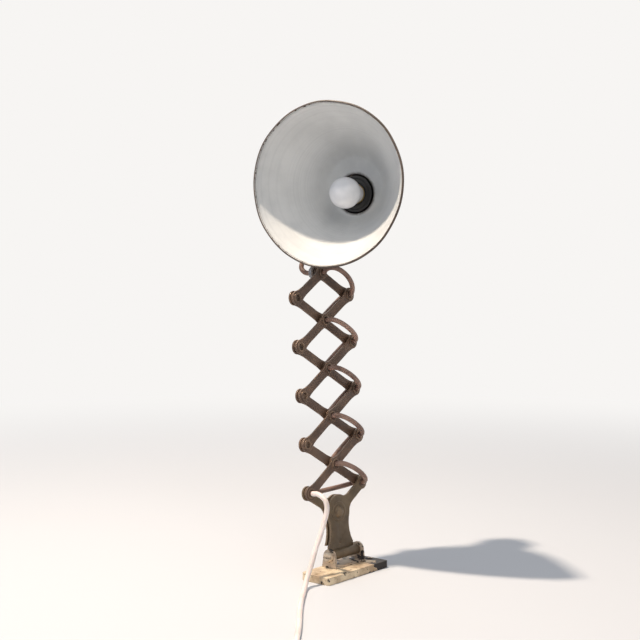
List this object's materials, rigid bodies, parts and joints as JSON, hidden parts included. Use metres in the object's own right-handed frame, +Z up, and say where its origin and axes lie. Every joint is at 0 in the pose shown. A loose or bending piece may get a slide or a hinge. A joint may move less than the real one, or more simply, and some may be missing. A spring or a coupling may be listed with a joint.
{
  "type": "scissor desk lamp",
  "caption": "Scissor-arm desk lamp: hinged foot, folding links with hollow pivots that carry the cord, and a swivelling dish shade.",
  "frame": {"origin": "centre of the foot's underside, midway between its two bench screw holes", "axes": "+Z up, +X along the foot and the hinge barrel, -Y out of the scissor's front face"},
  "size_m": [0.4756, 0.423, 0.6097],
  "materials": {
    "foot_plate": "worn cream enamel over dark iron",
    "hinge_bracket": "worn cream-brown paint",
    "bracket_screws": "dull steel",
    "hinge_bolt": "worn cream paint",
    "hinge_nut": "worn paint over steel",
    "front_cheek": "aged bronze-brown paint",
    "rear_cheek": "aged bronze-brown paint",
    "main_screw": "aged bronze-brown paint",
    "main_nut": "dull steel",
    "front_link_1": "aged brown paint",
    "front_link_2": "aged brown paint",
    "front_link_3": "aged brown paint",
    "front_link_4": "aged brown paint",
    "front_half_link": "aged brown paint",
    "back_link_1": "aged brown paint",
    "back_link_2": "aged brown paint",
    "back_link_3": "aged brown paint",
    "back_link_4": "aged brown paint",
    "back_half_link": "aged brown paint",
    "front_rivets_1": "dull browned steel",
    "front_rivets_2": "dull browned steel",
    "front_rivets_3": "dull browned steel",
    "front_rivets_4": "dull browned steel",
    "top_rivet": "dull browned steel",
    "back_rivet_1": "dull browned steel",
    "back_rivet_2": "dull browned steel",
    "back_rivet_3": "dull browned steel",
    "back_rivet_4": "dull browned steel",
    "back_rivet_5": "dull browned steel",
    "head_bolt": "dull browned steel",
    "clamp_nut": "knurled steel",
    "head_arm": "dark brown paint",
    "swivel_block": "dark brown paint",
    "tilt_bolt": "dull steel",
    "wing_nut": "dull steel",
    "shade": "white enamel inside, dark brown paint outside",
    "shade_cup": "dark brown paint",
    "cord_gland": "black rubber",
    "lampholder": "black bakelite",
    "bulb_glass": "white frosted glass",
    "bulb_cap": "screw cap",
    "front_cord_1": "grimy flex",
    "front_cord_2": "grimy flex",
    "front_cord_3": "grimy flex",
    "front_cord_4": "grimy flex",
    "front_cord_5": "grimy flex",
    "rear_cord_2": "grimy flex",
    "rear_cord_3": "grimy flex",
    "rear_cord_4": "grimy flex",
    "rear_cord_5": "grimy flex",
    "cross_cord": "grimy flex",
    "cord_bend": "smooth off-white flex",
    "cord_drop": "smooth off-white flex",
    "cord_run": "smooth off-white flex",
    "cord_coil": "smooth off-white flex",
    "plug": "black plastic",
    "arm_cord": "grimy flex",
    "neck_cord": "grimy flex",
    "head_cord": "grimy flex"
  },
  "bodies": {
    "base": {"foot_plate": "foot_plate", "hinge_bracket": "hinge_bracket", "bracket_screws": "bracket_screws", "hinge_bolt": "hinge_bolt", "hinge_nut": "hinge_nut", "cord_drop": "cord_drop", "cord_run": "cord_run", "cord_coil": "cord_coil", "plug": "plug"},
    "front_cheek": {"front_cheek": "front_cheek", "main_screw": "main_screw", "main_nut": "main_nut", "cross_cord": "cross_cord", "cord_bend": "cord_bend"},
    "rear_cheek": {"rear_cheek": "rear_cheek"},
    "back_link_1": {"back_link_1": "back_link_1", "back_rivet_1": "back_rivet_1", "front_cord_1": "front_cord_1"},
    "front_link_1": {"front_link_1": "front_link_1", "front_rivets_1": "front_rivets_1", "rear_cord_2": "rear_cord_2"},
    "back_link_2": {"back_link_2": "back_link_2", "back_rivet_2": "back_rivet_2", "front_cord_2": "front_cord_2"},
    "front_link_2": {"front_link_2": "front_link_2", "front_rivets_2": "front_rivets_2", "rear_cord_3": "rear_cord_3"},
    "back_link_3": {"back_link_3": "back_link_3", "back_rivet_3": "back_rivet_3", "front_cord_3": "front_cord_3"},
    "front_link_3": {"front_link_3": "front_link_3", "front_rivets_3": "front_rivets_3", "rear_cord_4": "rear_cord_4"},
    "back_link_4": {"back_link_4": "back_link_4", "back_rivet_4": "back_rivet_4", "front_cord_4": "front_cord_4"},
    "front_link_4": {"front_link_4": "front_link_4", "front_rivets_4": "front_rivets_4", "rear_cord_5": "rear_cord_5"},
    "back_half_link": {"back_half_link": "back_half_link", "back_rivet_5": "back_rivet_5", "front_cord_5": "front_cord_5"},
    "front_half_link": {"front_half_link": "front_half_link", "top_rivet": "top_rivet", "head_bolt": "head_bolt"},
    "clamp_nut": {"clamp_nut": "clamp_nut"},
    "head_arm": {"head_arm": "head_arm", "arm_cord": "arm_cord", "neck_cord": "neck_cord"},
    "swivel_block": {"swivel_block": "swivel_block", "head_cord": "head_cord"},
    "shade_head": {"shade": "shade", "shade_cup": "shade_cup", "cord_gland": "cord_gland", "lampholder": "lampholder", "bulb_glass": "bulb_glass", "bulb_cap": "bulb_cap", "tilt_bolt": "tilt_bolt"},
    "wing_nut": {"wing_nut": "wing_nut"}
  },
  "joints": [
    {"name": "base_tilt", "type": "hinge", "parent": "base", "child": "front_cheek", "pos_m": [0.011, 0.01, 0.024], "axis": [1, 0, 0], "range_deg": [-60, 50], "deforming": ["cord_drop"]},
    {"name": "scissor_fold", "type": "hinge", "parent": "front_cheek", "child": "back_link_1", "pos_m": [0.06442, 0.02522, 0.10846], "axis": [0, 0.9962, -0.0872], "range_deg": [-30, 44], "deforming": ["cross_cord", "cord_bend"]},
    {"name": "rear_cheek_fold", "type": "hinge", "parent": "front_cheek", "child": "rear_cheek", "pos_m": [0.011, 0.02248, 0.07712], "axis": [0, 0.9962, -0.0872], "range_deg": [-31, 45]},
    {"name": "crossing_1", "type": "hinge", "parent": "back_link_1", "child": "front_link_1", "pos_m": [0.011, 0.02796, 0.13981], "axis": [0, 0.9962, -0.0872], "range_deg": [-45, 31]},
    {"name": "right_pivot_2", "type": "hinge", "parent": "front_link_1", "child": "back_link_2", "pos_m": [0.06442, 0.0307, 0.17116], "axis": [0, 0.9962, -0.0872], "range_deg": [-31, 45]},
    {"name": "crossing_2", "type": "hinge", "parent": "back_link_2", "child": "front_link_2", "pos_m": [0.011, 0.03345, 0.2025], "axis": [0, 0.9962, -0.0872], "range_deg": [-45, 31]},
    {"name": "right_pivot_3", "type": "hinge", "parent": "front_link_2", "child": "back_link_3", "pos_m": [0.06442, 0.03619, 0.23385], "axis": [0, 0.9962, -0.0872], "range_deg": [-31, 45]},
    {"name": "crossing_3", "type": "hinge", "parent": "back_link_3", "child": "front_link_3", "pos_m": [0.011, 0.03893, 0.2652], "axis": [0, 0.9962, -0.0872], "range_deg": [-45, 31]},
    {"name": "right_pivot_4", "type": "hinge", "parent": "front_link_3", "child": "back_link_4", "pos_m": [0.06442, 0.04167, 0.29655], "axis": [0, 0.9962, -0.0872], "range_deg": [-31, 45]},
    {"name": "crossing_4", "type": "hinge", "parent": "back_link_4", "child": "front_link_4", "pos_m": [0.011, 0.04442, 0.3279], "axis": [0, 0.9962, -0.0872], "range_deg": [-45, 31]},
    {"name": "right_pivot_5", "type": "hinge", "parent": "front_link_4", "child": "back_half_link", "pos_m": [0.06442, 0.04716, 0.35924], "axis": [0, 0.9962, -0.0872], "range_deg": [-31, 45]},
    {"name": "crossing_5", "type": "hinge", "parent": "back_half_link", "child": "front_half_link", "pos_m": [0.011, 0.0499, 0.39059], "axis": [0, 0.9962, -0.0872], "range_deg": [-45, 31]},
    {"name": "arm_swing", "type": "hinge", "parent": "front_half_link", "child": "head_arm", "pos_m": [0.011, 0.0499, 0.39059], "axis": [0, -0.9962, 0.0872], "range_deg": [-15, 22]},
    {"name": "clamp_nut_turn", "type": "hinge", "parent": "front_half_link", "child": "clamp_nut", "pos_m": [0.011, 0.0499, 0.39059], "axis": [0, -0.9962, 0.0872], "range_deg": [-180, 180]},
    {"name": "head_swivel", "type": "hinge", "parent": "head_arm", "child": "swivel_block", "pos_m": [0.084, 0.02579, 0.45694], "axis": [0, 0.0872, 0.9962], "range_deg": [0, 90], "deforming": ["neck_cord"]},
    {"name": "shade_tilt", "type": "hinge", "parent": "swivel_block", "child": "shade_head", "pos_m": [0.084, 0.02579, 0.45694], "axis": [0.225, -0.9707, 0.0849], "range_deg": [-45, 8], "deforming": ["head_cord"]},
    {"name": "wing_nut_turn", "type": "hinge", "parent": "shade_head", "child": "wing_nut", "pos_m": [0.084, 0.02579, 0.45694], "axis": [0.225, -0.9707, 0.0849], "range_deg": [-180, 180]}
  ],
  "couplings": [
    {"joint": "rear_cheek_fold", "follows": "scissor_fold", "ratio": 1},
    {"joint": "crossing_1", "follows": "scissor_fold", "ratio": -1},
    {"joint": "right_pivot_2", "follows": "scissor_fold", "ratio": 1},
    {"joint": "crossing_2", "follows": "scissor_fold", "ratio": -1},
    {"joint": "right_pivot_3", "follows": "scissor_fold", "ratio": 1},
    {"joint": "crossing_3", "follows": "scissor_fold", "ratio": -1},
    {"joint": "right_pivot_4", "follows": "scissor_fold", "ratio": 1},
    {"joint": "crossing_4", "follows": "scissor_fold", "ratio": -1},
    {"joint": "right_pivot_5", "follows": "scissor_fold", "ratio": 1},
    {"joint": "crossing_5", "follows": "scissor_fold", "ratio": -1}
  ]
}
